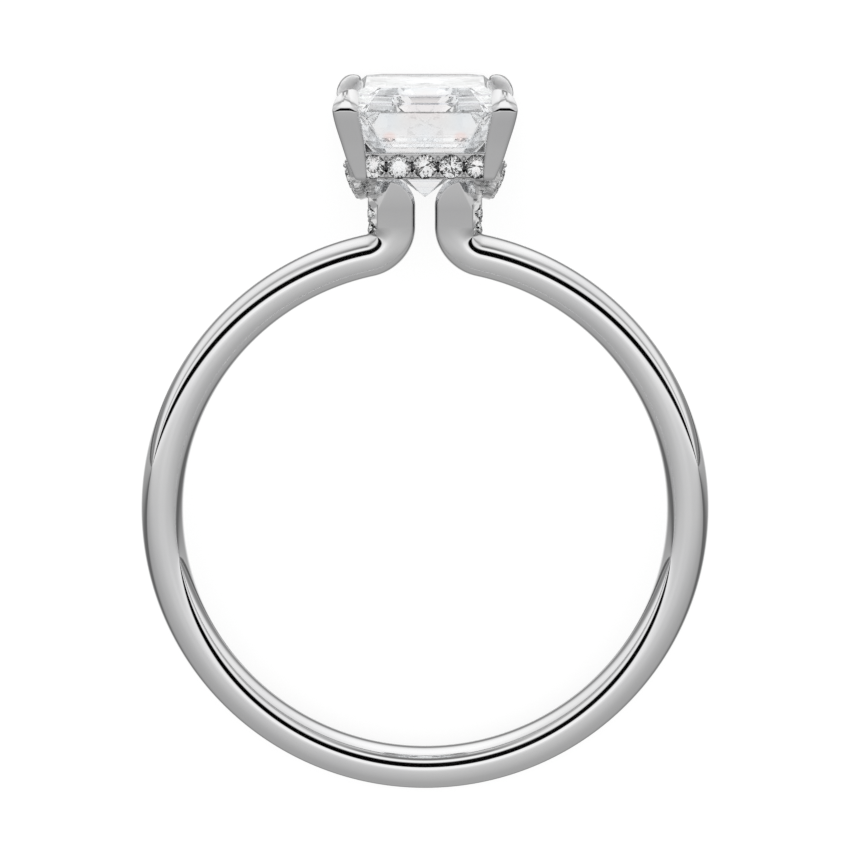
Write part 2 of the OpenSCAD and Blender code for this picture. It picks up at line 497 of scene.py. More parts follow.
def step_cut(g):
    """The rectangular step-cut stone, grown all round by g."""
    levels = []
    drop = 0.0
    for d, inset in CROWN:
        levels.append((drop, inset, STONE_CUT - 0.35 * inset))
        drop += d
    levels.append((CROWN_H, 0.0, STONE_CUT))
    drop = CROWN_H + GIRDLE
    for d, inset in PAVILION:
        levels.append((drop, inset, STONE_CUT * (1 - inset / STONE_U)))
        drop += d
    levels = [(drop, inset, cut, g if i < 4 else -0.4 * g)
              for i, (drop, inset, cut) in enumerate(levels)]
    if g == 0:
        # narrow facets along the edges between the steps
        fine = [levels[0]]
        for i in range(1, len(levels) - 1):
            if i in (3, 4):
                fine.append(levels[i])
            else:
                for j, t in ((i - 1, 0.13), (i + 1, 0.09)):
                    fine.append(tuple(a + (b - a) * t for a, b in zip(levels[i], levels[j])))
        levels = fine + [levels[-1]]
    points = []
    for drop, inset, cut, shift in levels:
        points += octagon(STONE_U - inset + g, STONE_N - inset + g, cut + 0.6 * g,
                          TABLE_V - drop + shift)
    keel_v = TABLE_V - CROWN_H - GIRDLE - PAVILION_H - 1.4 * g
    keel_n = STONE_N - STONE_U
    points += [(0, keel_v, keel_n), (0, keel_v, -keel_n)]
    faces = [tuple(range(8))]
    for j in range(len(levels) - 1):
        for i in range(8):
            faces.append((j * 8 + i, (j + 1) * 8 + i, (j + 1) * 8 + (i + 1) % 8,
                          j * 8 + (i + 1) % 8))
    b = (len(levels) - 1) * 8
    k0 = len(levels) * 8
    k1 = k0 + 1
    faces += [(b, k0, b + 1), (b + 1, k0, b + 2), (b + 2, k0, b + 3),
              (b + 3, k0, k1, b + 4), (b + 4, k1, b + 5), (b + 5, k1, b + 6),
              (b + 6, k1, b + 7), (b + 7, k1, k0, b)]
    return points, faces


# ---------------------------------------------------------- round brilliants
def brilliant(centre, axis, d, spin=0.0, deep=0.97):
    """A round brilliant whose girdle's upper edge is centred at centre."""
    r = d / 2
    rt, hc, g, hp = 0.56 * r, 0.32 * r, 0.05 * r, deep * r
    rs = 0.5 * r + 0.462 * rt
    c22 = math.cos(math.pi / 8)
    zs = hc * (r - rs * c22) / (r - rt)
    rl = 0.24 * r
    zl = -g - hp * (1 - rl * c22 / r)
    x, y, z = basis(axis)
    origin = Vector(centre)
    pts = []

    def put(radius, angle, height):
        a = angle + spin
        pts.append(tuple(origin + x * (radius * math.cos(a))
                         + y * (radius * math.sin(a)) + z * height))
        return len(pts) - 1

    e = math.pi / 4
    table = [put(rt, e * i, hc) for i in range(8)]
    star = [put(rs, e * (i + 0.5), zs) for i in range(8)]
    top = [put(r, e * i / 2, 0.0) for i in range(16)]
    low = [put(r, e * i / 2, -g) for i in range(16)]
    half = [put(rl, e * (i + 0.5), zl) for i in range(8)]
    culet = put(0, 0, -g - hp)
    faces = [tuple(table)]
    for i in range(8):
        j = (i + 1) % 8
        faces.append((table[i], star[i], table[j]))
        faces.append((table[i], star[i - 1], top[2 * i], star[i]))
        faces.append((star[i], top[2 * i], top[2 * i + 1]))
        faces.append((star[i], top[2 * i + 1], top[(2 * i + 2) % 16]))
        faces.append((half[i], low[2 * i + 1], low[2 * i]))
        faces.append((half[i], low[(2 * i + 2) % 16], low[2 * i + 1]))
        faces.append((culet, half[i], low[2 * i], half[i - 1]))
    for i in range(16):
        j = (i + 1) % 16
        faces.append((top[i], low[i], low[j], top[j]))
    return pts, faces


def seat_cutter(centre, axis, d):
    """Cone and collar that open the seat of one round stone."""
    r = d / 2 + 0.008
    x, y, z = basis(axis)
    origin = Vector(centre)
    rings = []
    for radius, height in ((0.05, -0.515 * d), (r, -0.035), (r, 0.02),
                           (r + 0.03, 0.5 * d)):
        rings.append([tuple(origin + x * (radius * math.cos(a))
                            + y * (radius * math.sin(a)) + z * height)
                      for a in [2 * math.pi * i / 32 for i in range(32)]])
    return loft(rings)


def bed_cutter(centre, axis, d):
    """Closed bed just round one stone, for a claw that reaches over it."""
    r = d / 2 + 0.008
    x, y, z = basis(axis)
    origin = Vector(centre)
    rings = []
    for radius, height in ((0.05, -0.515 * d), (r, -0.035), (r, 0.01),
                           (0.58 * r, 0.16 * d + 0.012)):
        rings.append([tuple(origin + x * (radius * math.cos(a))
                            + y * (radius * math.sin(a)) + z * height)
                      for a in [2 * math.pi * i / 32 for i in range(32)]])
    return loft(rings)


def slot_cutter(centre, axis, along, half):
    """Upright cut between two stones: half width, half height, depth."""
    z = Vector(axis).normalized()
    x = Vector(along).normalized()
    y = z.cross(x)
    origin = Vector(centre)
    rings = []
    for height, f in ((-half[2], 0.55), (-0.5 * half[2], 0.9), (0.0, 1.0), (0.12, 1.0)):
        rings.append([tuple(origin + x * (f * half[0] * power(math.cos(a), 3.5))
                            + y * (f * half[1] * power(math.sin(a), 3.5)) + z * height)
                      for a in [2 * math.pi * (i + 0.5) / 20 for i in range(20)]])
    return loft(rings)


def grain_pit(centre, axis, r):
    """Shallow round pit in which a grain of metal stands."""
    x, y, z = basis(axis)
    origin = Vector(centre)
    rings = []
    for radius, height in ((r + 0.012, -0.03), (r + 0.03, 0.02), (r + 0.045, 0.3)):
        rings.append([tuple(origin + x * (radius * math.cos(a))
                            + y * (radius * math.sin(a)) + z * height)
                      for a in [2 * math.pi * (i + 0.3) / 20 for i in range(20)]])
    return loft(rings)


def ball(centre, r, axis, flat=0.85):
    """A small round grain, a little flattened along axis."""
    x, y, z = basis(axis)
    origin = Vector(centre)
    rows, cols = 8, 12
    pts = [tuple(origin + z * (r * flat))]
    for j in range(1, rows):
        a = math.pi * j / rows
        for i in range(cols):
            b = 2 * math.pi * i / cols
            pts.append(tuple(origin + x * (r * math.sin(a) * math.cos(b))
                             + y * (r * math.sin(a) * math.sin(b))
                             + z * (r * flat * math.cos(a))))
    pts.append(tuple(origin - z * (r * flat)))
    last = len(pts) - 1
    faces = []
    for i in range(cols):
        k = (i + 1) % cols
        faces.append((0, 1 + i, 1 + k))
        faces.append((last, last - cols + k, last - cols + i))
        for j in range(rows - 2):
            a, b = 1 + j * cols, 1 + (j + 1) * cols
            faces.append((a + i, b + i, b + k, a + k))
    return pts, faces


# --------------------------------------- where the small stones and grains go
random.seed(7)
stones, grains = [], []          # (centre, axis, diameter), (centre, axis, radius)

cuts = []                        # (centre, axis, direction across, half sizes)
PITCH = 0.853
D_END = 0.79
for side in (1, -1):
    axis = (0, 0, side)
    for i in range(-2, 3):
        stones.append(((PITCH * i, BAR_V + 0.425, side * (BAR_N - 0.085)), axis, D_END))
    for i in (-1.5, -0.5, 0.5, 1.5):
        cuts.append(((PITCH * i, BAR_V + 0.41, side * BAR_N), axis, (1, 0, 0),
                     (0.062, 0.20, 0.24)))
        for h in (0.13, 0.69):
            grains.append(((PITCH * i, BAR_V + h, side * (BAR_N - 0.055)), axis, 0.078))


def rail_track():
    """Points along the middle of the right rail's face, by arc length."""
    ns = np.linspace(-3.15, 3.15, 631)
    hs = np.array([dip_at(n) + 0.43 for n in ns])
    s = np.concatenate([[0], np.cumsum(np.hypot(np.diff(ns), np.diff(hs)))])
    return ns, hs, s - s[-1] / 2


TRACK_N, TRACK_H, TRACK_S = rail_track()


def rail_at(s, off):
    """Centre on the right rail's face at arc length s, off to its upper side."""
    n = float(np.interp(s, TRACK_S, TRACK_N))
    h = float(np.interp(s, TRACK_S, TRACK_H))
    n2 = float(np.interp(s + 0.01, TRACK_S, TRACK_N))
    h2 = float(np.interp(s + 0.01, TRACK_S, TRACK_H))
    L = math.hypot(n2 - n, h2 - h)
    tn, th = (n2 - n) / L, (h2 - h) / L
    return n - th * off, h + tn * off


D_RAIL = 0.77
RAIL_PITCH = 0.85
for side in (1, -1):
    axis = (side * RAIL_NORMAL.x, RAIL_NORMAL.y, 0)
    for i in range(-3, 4):
        last = abs(i) == 3
        n, h = rail_at((RAIL_PITCH - 0.02 * last) * i, -0.06 if last else 0)
        u, v, n = rail_point(-0.05, h, n)
        stones.append(((side * u, v, n), axis, D_RAIL - 0.08 * last))
    for i in range(-4, 4):
        n, h = rail_at(RAIL_PITCH * (i + 0.5), 0)
        n2, h2 = rail_at(RAIL_PITCH * (i + 0.5) + 0.05, 0)
        u, v, n = rail_point(0.0, h, n)
        u2, v2, n2 = rail_point(0.0, h2, n2)
        if abs(n) < 2.8:
            cuts.append(((side * u, v, n), axis, (side * (u2 - u), v2 - v, n2 - n),
                         (0.06, 0.20, 0.22)))
        for off in (-0.29, 0.29 if abs(i + 0.5) < 3 else 0.16):
            n, h = rail_at(RAIL_PITCH * (i + 0.5), off)
            u, v, n = rail_point(-0.04, h, n)
            grains.append(((side * u, v, n), axis, 0.095))

for side in (1, -1):
    stones.append(((side * 1.87, BEND_V + 0.385, 0.0), (side, 0, 0), 0.46))
    stones.append(((side * 1.85, BEND_V - 0.09, 0.0), (side * 0.985, 0.17, 0), 0.46))
    for v in (0.15, 0.63):
        for n in (-0.15, 0.15):
            grains.append(((side * 1.88, BEND_V + v, n), (side, 0, 0), 0.06))

for i, (c, a, d) in enumerate(stones):
    # set by hand: no stone stands quite true in its seat
    x, y, z = basis(a)
    stones[i] = (c, tuple(z + x * random.uniform(-0.03, 0.03)
                          + y * random.uniform(-0.03, 0.03)), d)

# ------------------------------------------------------------ the mounting
metal = tidy(new_object("mounting_metal", *band()))
bar = end_bar()
for left, axis in ((knuckle(), 0), (post_filler(), 0), (seat_strip(), 0), (bar, 2),
                   (side_rail(), 0)):
    combine(metal, tidy(new_object("tmp", *joined([left, mirror_part(left, axis)]))),
            "UNION")
for group in ([seat_cutter(*p) for p in stones[0::2]], [seat_cutter(*p) for p in stones[1::2]],
              [slot_cutter(*p) for p in cuts], [grain_pit(c, a, r) for c, a, r in grains]):
    combine(metal, tidy(new_object("tmp", *joined(group))), "DIFFERENCE")
one = claw()
four = tidy(new_object("tmp", *joined([one, mirror_part(one, 0), mirror_part(one, 2),
                                       mirror_part(mirror_part(one, 0), 2)])))
combine(four, tidy(new_object("tmp2", *step_cut(SEAT_GAP))), "DIFFERENCE")
near = [p for p in stones if abs(p[0][2]) > 2.0 and abs(p[0][0]) > 1.0]
for group in (near[0::2], near[1::2]):
    combine(four, tidy(new_object("tmp2", *joined([bed_cutter(*p) for p in group]))),
            "DIFFERENCE")
combine(metal, four, "UNION")
combine(metal, tidy(new_object("tmp", *joined([ball(c, r, a) for c, a, r in grains]))), "UNION")


# Which finish each face of the mounting has: 0 polished, 1 unpolished and painted near-black
# inside the small seats and cuts as painted shade, 2 bright-cut rails, 3 matt where the claws
# hold the stone
def in_seat(p):
    for c, a, d in seat_list:
        q = p - c
        z = q.dot(a)
        if -0.52 * d < z < -0.03 and (q - a * z).length < d / 2 + 0.012:
            return True
    for c, a, x, half in cut_list:
        q = p - c
        z = q.dot(a)
        if z < -0.05 and (abs(q.dot(x)) < half[0] + 0.01
                          and abs(q.dot(a.cross(x))) < half[1] + 0.01 and z > -half[2] - 0.01):
            return True
    return False


seat_list = [(Vector(c), Vector(a).normalized(), d) for c, a, d in stones]
cut_list = [(Vector(c), Vector(a).normalized(), Vector(x).normalized(), half)
            for c, a, x, half in cuts]
grown_points, grown_faces = step_cut(SEAT_GAP)
planes = []
for f in grown_faces:
    a, b, c = (Vector(grown_points[i]) for i in f[:3])
    normal = (b - a).cross(c - a).normalized()
    if normal.dot(a - Vector((0, TABLE_V - 1.0, 0))) < 0:
        normal = -normal
    planes.append((normal, normal.dot(a)))

finish_and_shade = []
for face in metal.data.polygons:
    p = face.center
    u, n, h = abs(p.x), abs(p.z), p.y - BEND_V
    kind = 0
    if h > -0.4:
        # seats and cuts above the posts get kind 1: painted shade
        if in_seat(p):
            kind = 1 if h > 0.8 else 2
        elif h > 0.78 and n < 3.14 and u > 1.5:
            du, dv = u - RAIL_U, p.y - (BAR_V - DIP)
            w = du * math.cos(LEAN) - dv * math.sin(LEAN)
            up = du * math.sin(LEAN) + dv * math.cos(LEAN) - dip_at(n)
            if -RAIL_T - 0.05 < w < 0.1 and -0.02 < up < BAR_H + 0.02:
                kind = 2
        if kind == 0 and n < 0.95 and h > 0.6:
            if (u - 1.230) * 0.902 + (h - 1.542) * 0.431 + 0.10 > 0.30:
                kind = 2
        if kind == 0 and h > 2.0 and u > 1.8 and n > 2.7:
            inward = face.normal.z * (-1 if p.z > 0 else 1)
            if inward > 0.6 or abs(max(m.dot(p) - k for m, k in planes)) < 0.004:
                kind = 3
    finish_and_shade.append(kind)
lay(metal, smooth=32)
metal.name = "mounting_metal"

# --------------------------------------------------------------- the stones
centre = lay(tidy(new_object("centre_stone_cut", *step_cut(0.0))))
halo = lay(tidy(new_object("halo_stones", *joined(
    [brilliant(c, a, d, spin=0.13 * i, deep=0.925 + 0.035 * ((i * 2) % 3))
     for i, (c, a, d) in enumerate(stones)]))))


# --------------------------------------------------------------- materials
def material(name):
    m = bpy.data.materials.new(name)
    m.use_nodes = True
    t = m.node_tree
    return m, t.nodes, t.links, t.nodes["Principled BSDF"]


def matt_metal():
    """Matt white metal where the claws bear on the stone."""
    m, nodes, links, shader = material("matt_bearing")
    shader.inputs["Metallic"].default_value = 0.25
    shader.inputs["Roughness"].default_value = 0.6
    coord = nodes.new("ShaderNodeTexCoord")
    tone = nodes.new("ShaderNodeTexNoise")
    tone.inputs["Scale"].default_value = 5000.0
    links.new(coord.outputs["Object"], tone.inputs["Vector"])
    ramp = nodes.new("ShaderNodeValToRGB")
    ramp.color_ramp.elements[0].position = 0.3
    ramp.color_ramp.elements[0].color = (0.84, 0.84, 0.85, 1)
    ramp.color_ramp.elements[1].position = 0.7
    ramp.color_ramp.elements[1].color = (0.95, 0.95, 0.95, 1)
    links.new(tone.outputs["Fac"], ramp.inputs["Fac"])
    links.new(ramp.outputs["Color"], shader.inputs["Base Color"])
    return m


def bright_metal():
    """Bright-cut metal of the side rails and their beads."""
    m, nodes, links, shader = material("bright_cut_rails")
    shader.inputs["Metallic"].default_value = 0.92
    coord = nodes.new("ShaderNodeTexCoord")
    tone = nodes.new("ShaderNodeTexNoise")
    tone.inputs["Scale"].default_value = 4200.0
    tone.inputs["Detail"].default_value = 1.0
    links.new(coord.outputs["Object"], tone.inputs["Vector"])
    ramp = nodes.new("ShaderNodeValToRGB")
    ramp.color_ramp.elements[0].position = 0.42
    ramp.color_ramp.elements[0].color = (0.5, 0.5, 0.505, 1)
    ramp.color_ramp.elements[1].position = 0.56
    ramp.color_ramp.elements[1].color = (0.97, 0.97, 0.965, 1)
    links.new(tone.outputs["Fac"], ramp.inputs["Fac"])
    links.new(ramp.outputs["Color"], shader.inputs["Base Color"])
    rough = nodes.new("ShaderNodeMapRange")
    rough.inputs["To Min"].default_value = 0.06
    rough.inputs["To Max"].default_value = 0.12
    links.new(tone.outputs["Fac"], rough.inputs["Value"])
    links.new(rough.outputs["Result"], shader.inputs["Roughness"])
    return m


def polished_metal():
    m, nodes, links, shader = material("polished_white_gold")
    shader.inputs["Metallic"].default_value = 1.0
    coord = nodes.new("ShaderNodeTexCoord")
    tone = nodes.new("ShaderNodeTexNoise")
    tone.inputs["Scale"].default_value = 260.0
    tone.inputs["Detail"].default_value = 3.0
    links.new(coord.outputs["Object"], tone.inputs["Vector"])
    ramp = nodes.new("ShaderNodeValToRGB")
    ramp.color_ramp.elements[0].position = 0.3
    ramp.color_ramp.elements[0].color = (0.785, 0.785, 0.792, 1)
    ramp.color_ramp.elements[1].position = 0.7
    ramp.color_ramp.elements[1].color = (0.825, 0.824, 0.822, 1)
    links.new(tone.outputs["Fac"], ramp.inputs["Fac"])
    # painted shade: the head's metal is darkened by height, down to 0.64–0.76 of the band's, so
    # its reflections read greyer
    split = nodes.new("ShaderNodeSeparateXYZ")
    links.new(coord.outputs["Object"], split.inputs["Vector"])
    height = nodes.new("ShaderNodeMapRange")
    height.inputs["From Min"].default_value = (8.5 + SHIFT[1]) * 0.001
    height.inputs["From Max"].default_value = (11.5 + SHIFT[1]) * 0.001
    links.new(split.outputs["Y"], height.inputs["Value"])
    shade = nodes.new("ShaderNodeValToRGB")
    stops = ((8.8, 1.0), (9.15, 0.90), (9.65, 0.67), (10.2, 0.64), (10.7, 0.71), (11.3, 0.76))
    while len(shade.color_ramp.elements) < len(stops):
        shade.color_ramp.elements.new(1.0)
    for e, (at_height, value) in zip(shade.color_ramp.elements, stops):
        e.position = (at_height - 8.5) / 3
        e.color = (value, value, value * 1.005, 1)
    links.new(height.outputs["Result"], shade.inputs["Fac"])
    # the claw tips at the top are kept free of the painted shade
    tips = nodes.new("ShaderNodeMapRange")
    tips.interpolation_type = "SMOOTHSTEP"
    tips.inputs["From Min"].default_value = 0.01076
    tips.inputs["From Max"].default_value = 0.01084
    tips.inputs["To Min"].default_value = 1.0
    tips.inputs["To Max"].default_value = 0.0
    links.new(split.outputs["Y"], tips.inputs["Value"])
    head_painted_shade = nodes.new("ShaderNodeMix")
    head_painted_shade.data_type = "RGBA"
    head_painted_shade.blend_type = "MULTIPLY"
    links.new(shade.outputs["Color"], head_painted_shade.inputs["B"])
    links.new(tips.outputs["Result"], head_painted_shade.inputs["Factor"])
    links.new(ramp.outputs["Color"], head_painted_shade.inputs["A"])
    links.new(head_painted_shade.outputs["Result"], shader.inputs["Base Color"])
    # polish: slightly uneven gloss and very fine wear lines along the band
    rough = nodes.new("ShaderNodeMapRange")
    rough.inputs["From Min"].default_value = 0.35
    rough.inputs["From Max"].default_value = 0.7
    rough.inputs["To Min"].default_value = 0.035
    rough.inputs["To Max"].default_value = 0.07
    links.new(tone.outputs["Fac"], rough.inputs["Value"])
    links.new(rough.outputs["Result"], shader.inputs["Roughness"])
    lines = nodes.new("ShaderNodeTexNoise")
    lines.inputs["Scale"].default_value = 9000.0
    lines.inputs["Detail"].default_value = 2.0
    stretch = nodes.new("ShaderNodeMapping")
    stretch.inputs["Scale"].default_value = (0.25, 0.25, 1.0)
    links.new(coord.outputs["Object"], stretch.inputs["Vector"])
    links.new(stretch.outputs["Vector"], lines.inputs["Vector"])
    bump = nodes.new("ShaderNodeBump")
    bump.inputs["Strength"].default_value = 0.012
    bump.inputs["Distance"].default_value = 0.00001
    links.new(lines.outputs["Fac"], bump.inputs["Height"])
    links.new(bump.outputs["Normal"], shader.inputs["Normal"])
    return m


def clear_stone(name, scale, fire_tint, fire=None):
    """Colourless stone with very faint patches of colour painted into its glass: painted fire.
    """
    m, nodes, links, shader = material(name)
    shader.inputs["Transmission Weight"].default_value = 1.0
    shader.inputs["Roughness"].default_value = 0.0
    shader.inputs["IOR"].default_value = 2.417
    coord = nodes.new("ShaderNodeTexCoord")
    split = nodes.new("ShaderNodeSeparateXYZ")
    links.new(coord.outputs["Object"], split.inputs["Vector"])
    even = nodes.new("ShaderNodeMath")
    even.operation = "ABSOLUTE"
    links.new(split.outputs["X"], even.inputs[0])
    moved = nodes.new("ShaderNodeMath")
    moved.operation = "ADD"
    moved.inputs[1].default_value = 0.0046
    links.new(even.outputs["Value"], moved.inputs[0])
    both = nodes.new("ShaderNodeCombineXYZ")
    links.new(moved.outputs["Value"], both.inputs["X"])
    links.new(split.outputs["Y"], both.inputs["Y"])
    links.new(split.outputs["Z"], both.inputs["Z"])
    noise = nodes.new("ShaderNodeTexNoise")
    noise.inputs["Scale"].default_value = scale
    noise.inputs["Detail"].default_value = 1.5
    links.new(both.outputs["Vector"], noise.inputs["Vector"])
    ramp = nodes.new("ShaderNodeValToRGB")
    stops = [(0.32, (1 - fire_tint, 1.0, 1 - 0.5 * fire_tint)), (0.42, (1, 1, 1)),
             (0.50, (1 - 0.8 * fire_tint, 1 - 0.4 * fire_tint, 1.0)), (0.58, (1, 1, 1)),
             (0.68, (1.0, 1 - 0.9 * fire_tint, 1 - fire_tint))]
    cr = ramp.color_ramp
    cr.elements[0].position, cr.elements[0].color = stops[0][0], (*stops[0][1], 1)
    cr.elements[1].position, cr.elements[1].color = stops[-1][0], (*stops[-1][1], 1)
    for pos, colour in stops[1:-1]:
        e = cr.elements.new(pos)
        e.color = (*colour, 1)
    links.new(noise.outputs["Fac"], ramp.inputs["Fac"])
    links.new(ramp.outputs["Color"], shader.inputs["Base Color"])
    if fire:
        # a painted soft spot of pink fire on each side of the middle
        pair = nodes.new("ShaderNodeCombineXYZ")
        links.new(even.outputs["Value"], pair.inputs["X"])
        links.new(split.outputs["Y"], pair.inputs["Y"])
        links.new(split.outputs["Z"], pair.inputs["Z"])
        away = nodes.new("ShaderNodeVectorMath")
        away.operation = "DISTANCE"
        away.inputs[1].default_value = fire
        links.new(pair.outputs["Vector"], away.inputs[0])
        spot = nodes.new("ShaderNodeMapRange")
        spot.interpolation_type = "SMOOTHSTEP"
        spot.inputs["From Min"].default_value = 0.00010
        spot.inputs["From Max"].default_value = 0.00030
        spot.inputs["To Min"].default_value = 1.0
        spot.inputs["To Max"].default_value = 0.0
        links.new(away.outputs["Value"], spot.inputs["Value"])
        pink = nodes.new("ShaderNodeMix")
        pink.data_type = "RGBA"
        pink.inputs["B"].default_value = (1.0, 0.74, 0.70, 1)
        links.new(spot.outputs["Result"], pink.inputs["Factor"])
        links.new(ramp.outputs["Color"], pink.inputs["A"])
        links.new(pink.outputs["Result"], shader.inputs["Base Color"])
    return m


def facet_edges():
    """The narrow facets between the crown's steps, their glass tinted grey: painted shade that
    makes them read as fine lines.
    """
    m, nodes, links, shader = material("centre_stone_edges")
    shader.inputs["Transmission Weight"].default_value = 1.0
    shader.inputs["Roughness"].default_value = 0.05
    shader.inputs["IOR"].default_value = 2.417
    coord = nodes.new("ShaderNodeTexCoord")
    noise = nodes.new("ShaderNodeTexNoise")
    noise.inputs["Scale"].default_value = 900.0
    links.new(coord.outputs["Object"], noise.inputs["Vector"])
    ramp = nodes.new("ShaderNodeValToRGB")
    ramp.color_ramp.elements[0].position = 0.4
    ramp.color_ramp.elements[0].color = (0.66, 0.66, 0.72, 1)
    ramp.color_ramp.elements[1].position = 0.6
    ramp.color_ramp.elements[1].color = (0.86, 0.84, 0.88, 1)
    links.new(noise.outputs["Fac"], ramp.inputs["Fac"])
    links.new(ramp.outputs["Color"], shader.inputs["Base Color"])
    return m


def dark_facets():
    """Facets under the small stones painted near-black: a painted reflection of the dark of the
    room.
    """
    m, nodes, links, shader = material("halo_stone_painted_dark")
    shader.inputs["Roughness"].default_value = 0.2
    shader.inputs["IOR"].default_value = 1.1
    coord = nodes.new("ShaderNodeTexCoord")
    tone = nodes.new("ShaderNodeTexNoise")
    tone.inputs["Scale"].default_value = 3000.0
    links.new(coord.outputs["Object"], tone.inputs["Vector"])
    ramp = nodes.new("ShaderNodeValToRGB")
    ramp.color_ramp.elements[0].position = 0.35
    ramp.color_ramp.elements[0].color = (0.01, 0.01, 0.012, 1)
    ramp.color_ramp.elements[1].position = 0.65
    ramp.color_ramp.elements[1].color = (0.07, 0.07, 0.075, 1)
    links.new(tone.outputs["Fac"], ramp.inputs["Fac"])
    links.new(ramp.outputs["Color"], shader.inputs["Base Color"])
    return m


def seat_metal():
    """Rough metal down in the stones' seats and the cuts between them, its near-black colour
    painted shade in these recesses.
    """
    m, nodes, links, shader = material("seats_painted_shade")
    shader.inputs["Metallic"].default_value = 1.0
    shader.inputs["Roughness"].default_value = 0.38
    coord = nodes.new("ShaderNodeTexCoord")
    tone = nodes.new("ShaderNodeTexNoise")
    tone.inputs["Scale"].default_value = 4000.0
    tone.inputs["Detail"].default_value = 3.0
    links.new(coord.outputs["Object"], tone.inputs["Vector"])
    ramp = nodes.new("ShaderNodeValToRGB")
    ramp.color_ramp.elements[0].position = 0.3
    ramp.color_ramp.elements[0].color = (0.085, 0.085, 0.09, 1)
    ramp.color_ramp.elements[1].position = 0.7
    ramp.color_ramp.elements[1].color = (0.17, 0.17, 0.175, 1)
    links.new(tone.outputs["Fac"], ramp.inputs["Fac"])
    links.new(ramp.outputs["Color"], shader.inputs["Base Color"])
    bump = nodes.new("ShaderNodeBump")
    bump.inputs["Strength"].default_value = 0.15
    bump.inputs["Distance"].default_value = 0.00001
    links.new(tone.outputs["Fac"], bump.inputs["Height"])
    links.new(bump.outputs["Normal"], shader.inputs["Normal"])
    return m


metal.data.materials.clear()
metal.data.materials.append(polished_metal())
metal.data.materials.append(seat_metal())
metal.data.materials.append(bright_metal())
metal.data.materials.append(matt_metal())
metal.data.polygons.foreach_set("material_index", finish_and_shade)
centre.data.materials.append(clear_stone("centre_stone_clear", 420.0, 0.09,
                                         fire=tuple(to_world([(1.17, 13.06, 3.22)])[0])))
centre.data.materials.append(facet_edges())
up_axis = turn((0, 1, 0))
# the narrow upward facets get the grey-tinted glass: painted shade lines
narrow = []
for face in centre.data.polygons:
    corners = [centre.data.vertices[i].co for i in face.vertices]
    longest = max((a - b).length for a, b in zip(corners, corners[1:] + corners[:1]))
    narrow.append(1 if (face.area / longest < 0.00012
                        and face.normal.dot(up_axis) > 0.1) else 0)
centre.data.polygons.foreach_set("material_index", narrow)
halo.data.materials.append(clear_stone("halo_stone_clear", 1800.0, 0.04))
halo.data.materials.append(dark_facets())
axes = [(Vector(to_world([c])[0]), turn(Vector(a).normalized()), d) for c, a, d in stones]
# painted reflection: a random share of each small stone's lower facets is painted near-black
painted_dark_faces = []
for face in halo.data.polygons:
    home = min(axes, key=lambda q: (face.center - q[0]).length)
    share = 0.10 if len(face.vertices) == 3 else 0.03
    if home[2] < 0.5:
        share = 0.22
    under = face.normal.dot(home[1]) < -0.3
    painted_dark_faces.append(1 if under and random.random() < share else 0)
halo.data.polygons.foreach_set("material_index", painted_dark_faces)

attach(metal, "root")
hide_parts("mounting")
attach(centre, "root")
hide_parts("centre_stone")
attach(halo, "root")
for o in (centre, halo):
    o.visible_shadow = False

# ------------------------------------------------------------------- studio
floor = new_object("floor", [(-0.9, -0.9, 0), (0.9, -0.9, 0), (0.9, 0.9, 0), (-0.9, 0.9, 0)],
                   [(0, 1, 2, 3)])
m, nodes, links, shader = material("pale_floor")
shader.inputs["Base Color"].default_value = (0.25, 0.25, 0.25, 1)
shader.inputs["Roughness"].default_value = 0.9
shader.inputs["Specular IOR Level"].default_value = 0.0
shader.inputs["Emission Color"].default_value = (1, 1, 1, 1)
shader.inputs["Emission Strength"].default_value = 0.84
floor.data.materials.append(m)
floor.visible_glossy = False

# Soft dome: even white for what is lit, and for reflections a pale studio with
# one long dark strip, high in front of the ring.
world = bpy.data.worlds.new("studio")
bpy.context.scene.world = world
world.use_nodes = True
nt = world.node_tree
nt.nodes.clear()
out = nt.nodes.new("ShaderNodeOutputWorld")
coord = nt.nodes.new("ShaderNodeTexCoord")
sep = nt.nodes.new("ShaderNodeSeparateXYZ")
spin = nt.nodes.new("ShaderNodeVectorRotate")
spin.rotation_type = "X_AXIS"
spin.inputs["Angle"].default_value = -TILT
nt.links.new(coord.outputs["Generated"], spin.inputs["Vector"])
nt.links.new(spin.outputs["Vector"], sep.inputs["Vector"])
at = nt.nodes.new("ShaderNodeMath")
at.operation = "ARCTAN2"
nt.links.new(sep.outputs["Y"], at.inputs[0])
nt.links.new(sep.outputs["Z"], at.inputs[1])
fac = nt.nodes.new("ShaderNodeMapRange")
fac.inputs["From Min"].default_value = -math.pi
fac.inputs["From Max"].default_value = math.pi
nt.links.new(at.outputs["Value"], fac.inputs["Value"])
def studio_ramp(stops):
    """Brightness by the angle in the ring's upright plane: 0 front, 90 up."""
    node = nt.nodes.new("ShaderNodeValToRGB")
    cr = node.color_ramp
    cr.interpolation = "LINEAR"
    while len(cr.elements) > 1:
        cr.elements.remove(cr.elements[-1])
    cr.elements[0].position = 0.0
    cr.elements[0].color = (stops[0][1],) * 3 + (1,)
    for deg, value in stops[1:]:
        e = cr.elements.new((deg + 180) / 360)
        e.color = (value, value, value, 1)
    nt.links.new(fac.outputs["Result"], node.inputs["Fac"])
    return node


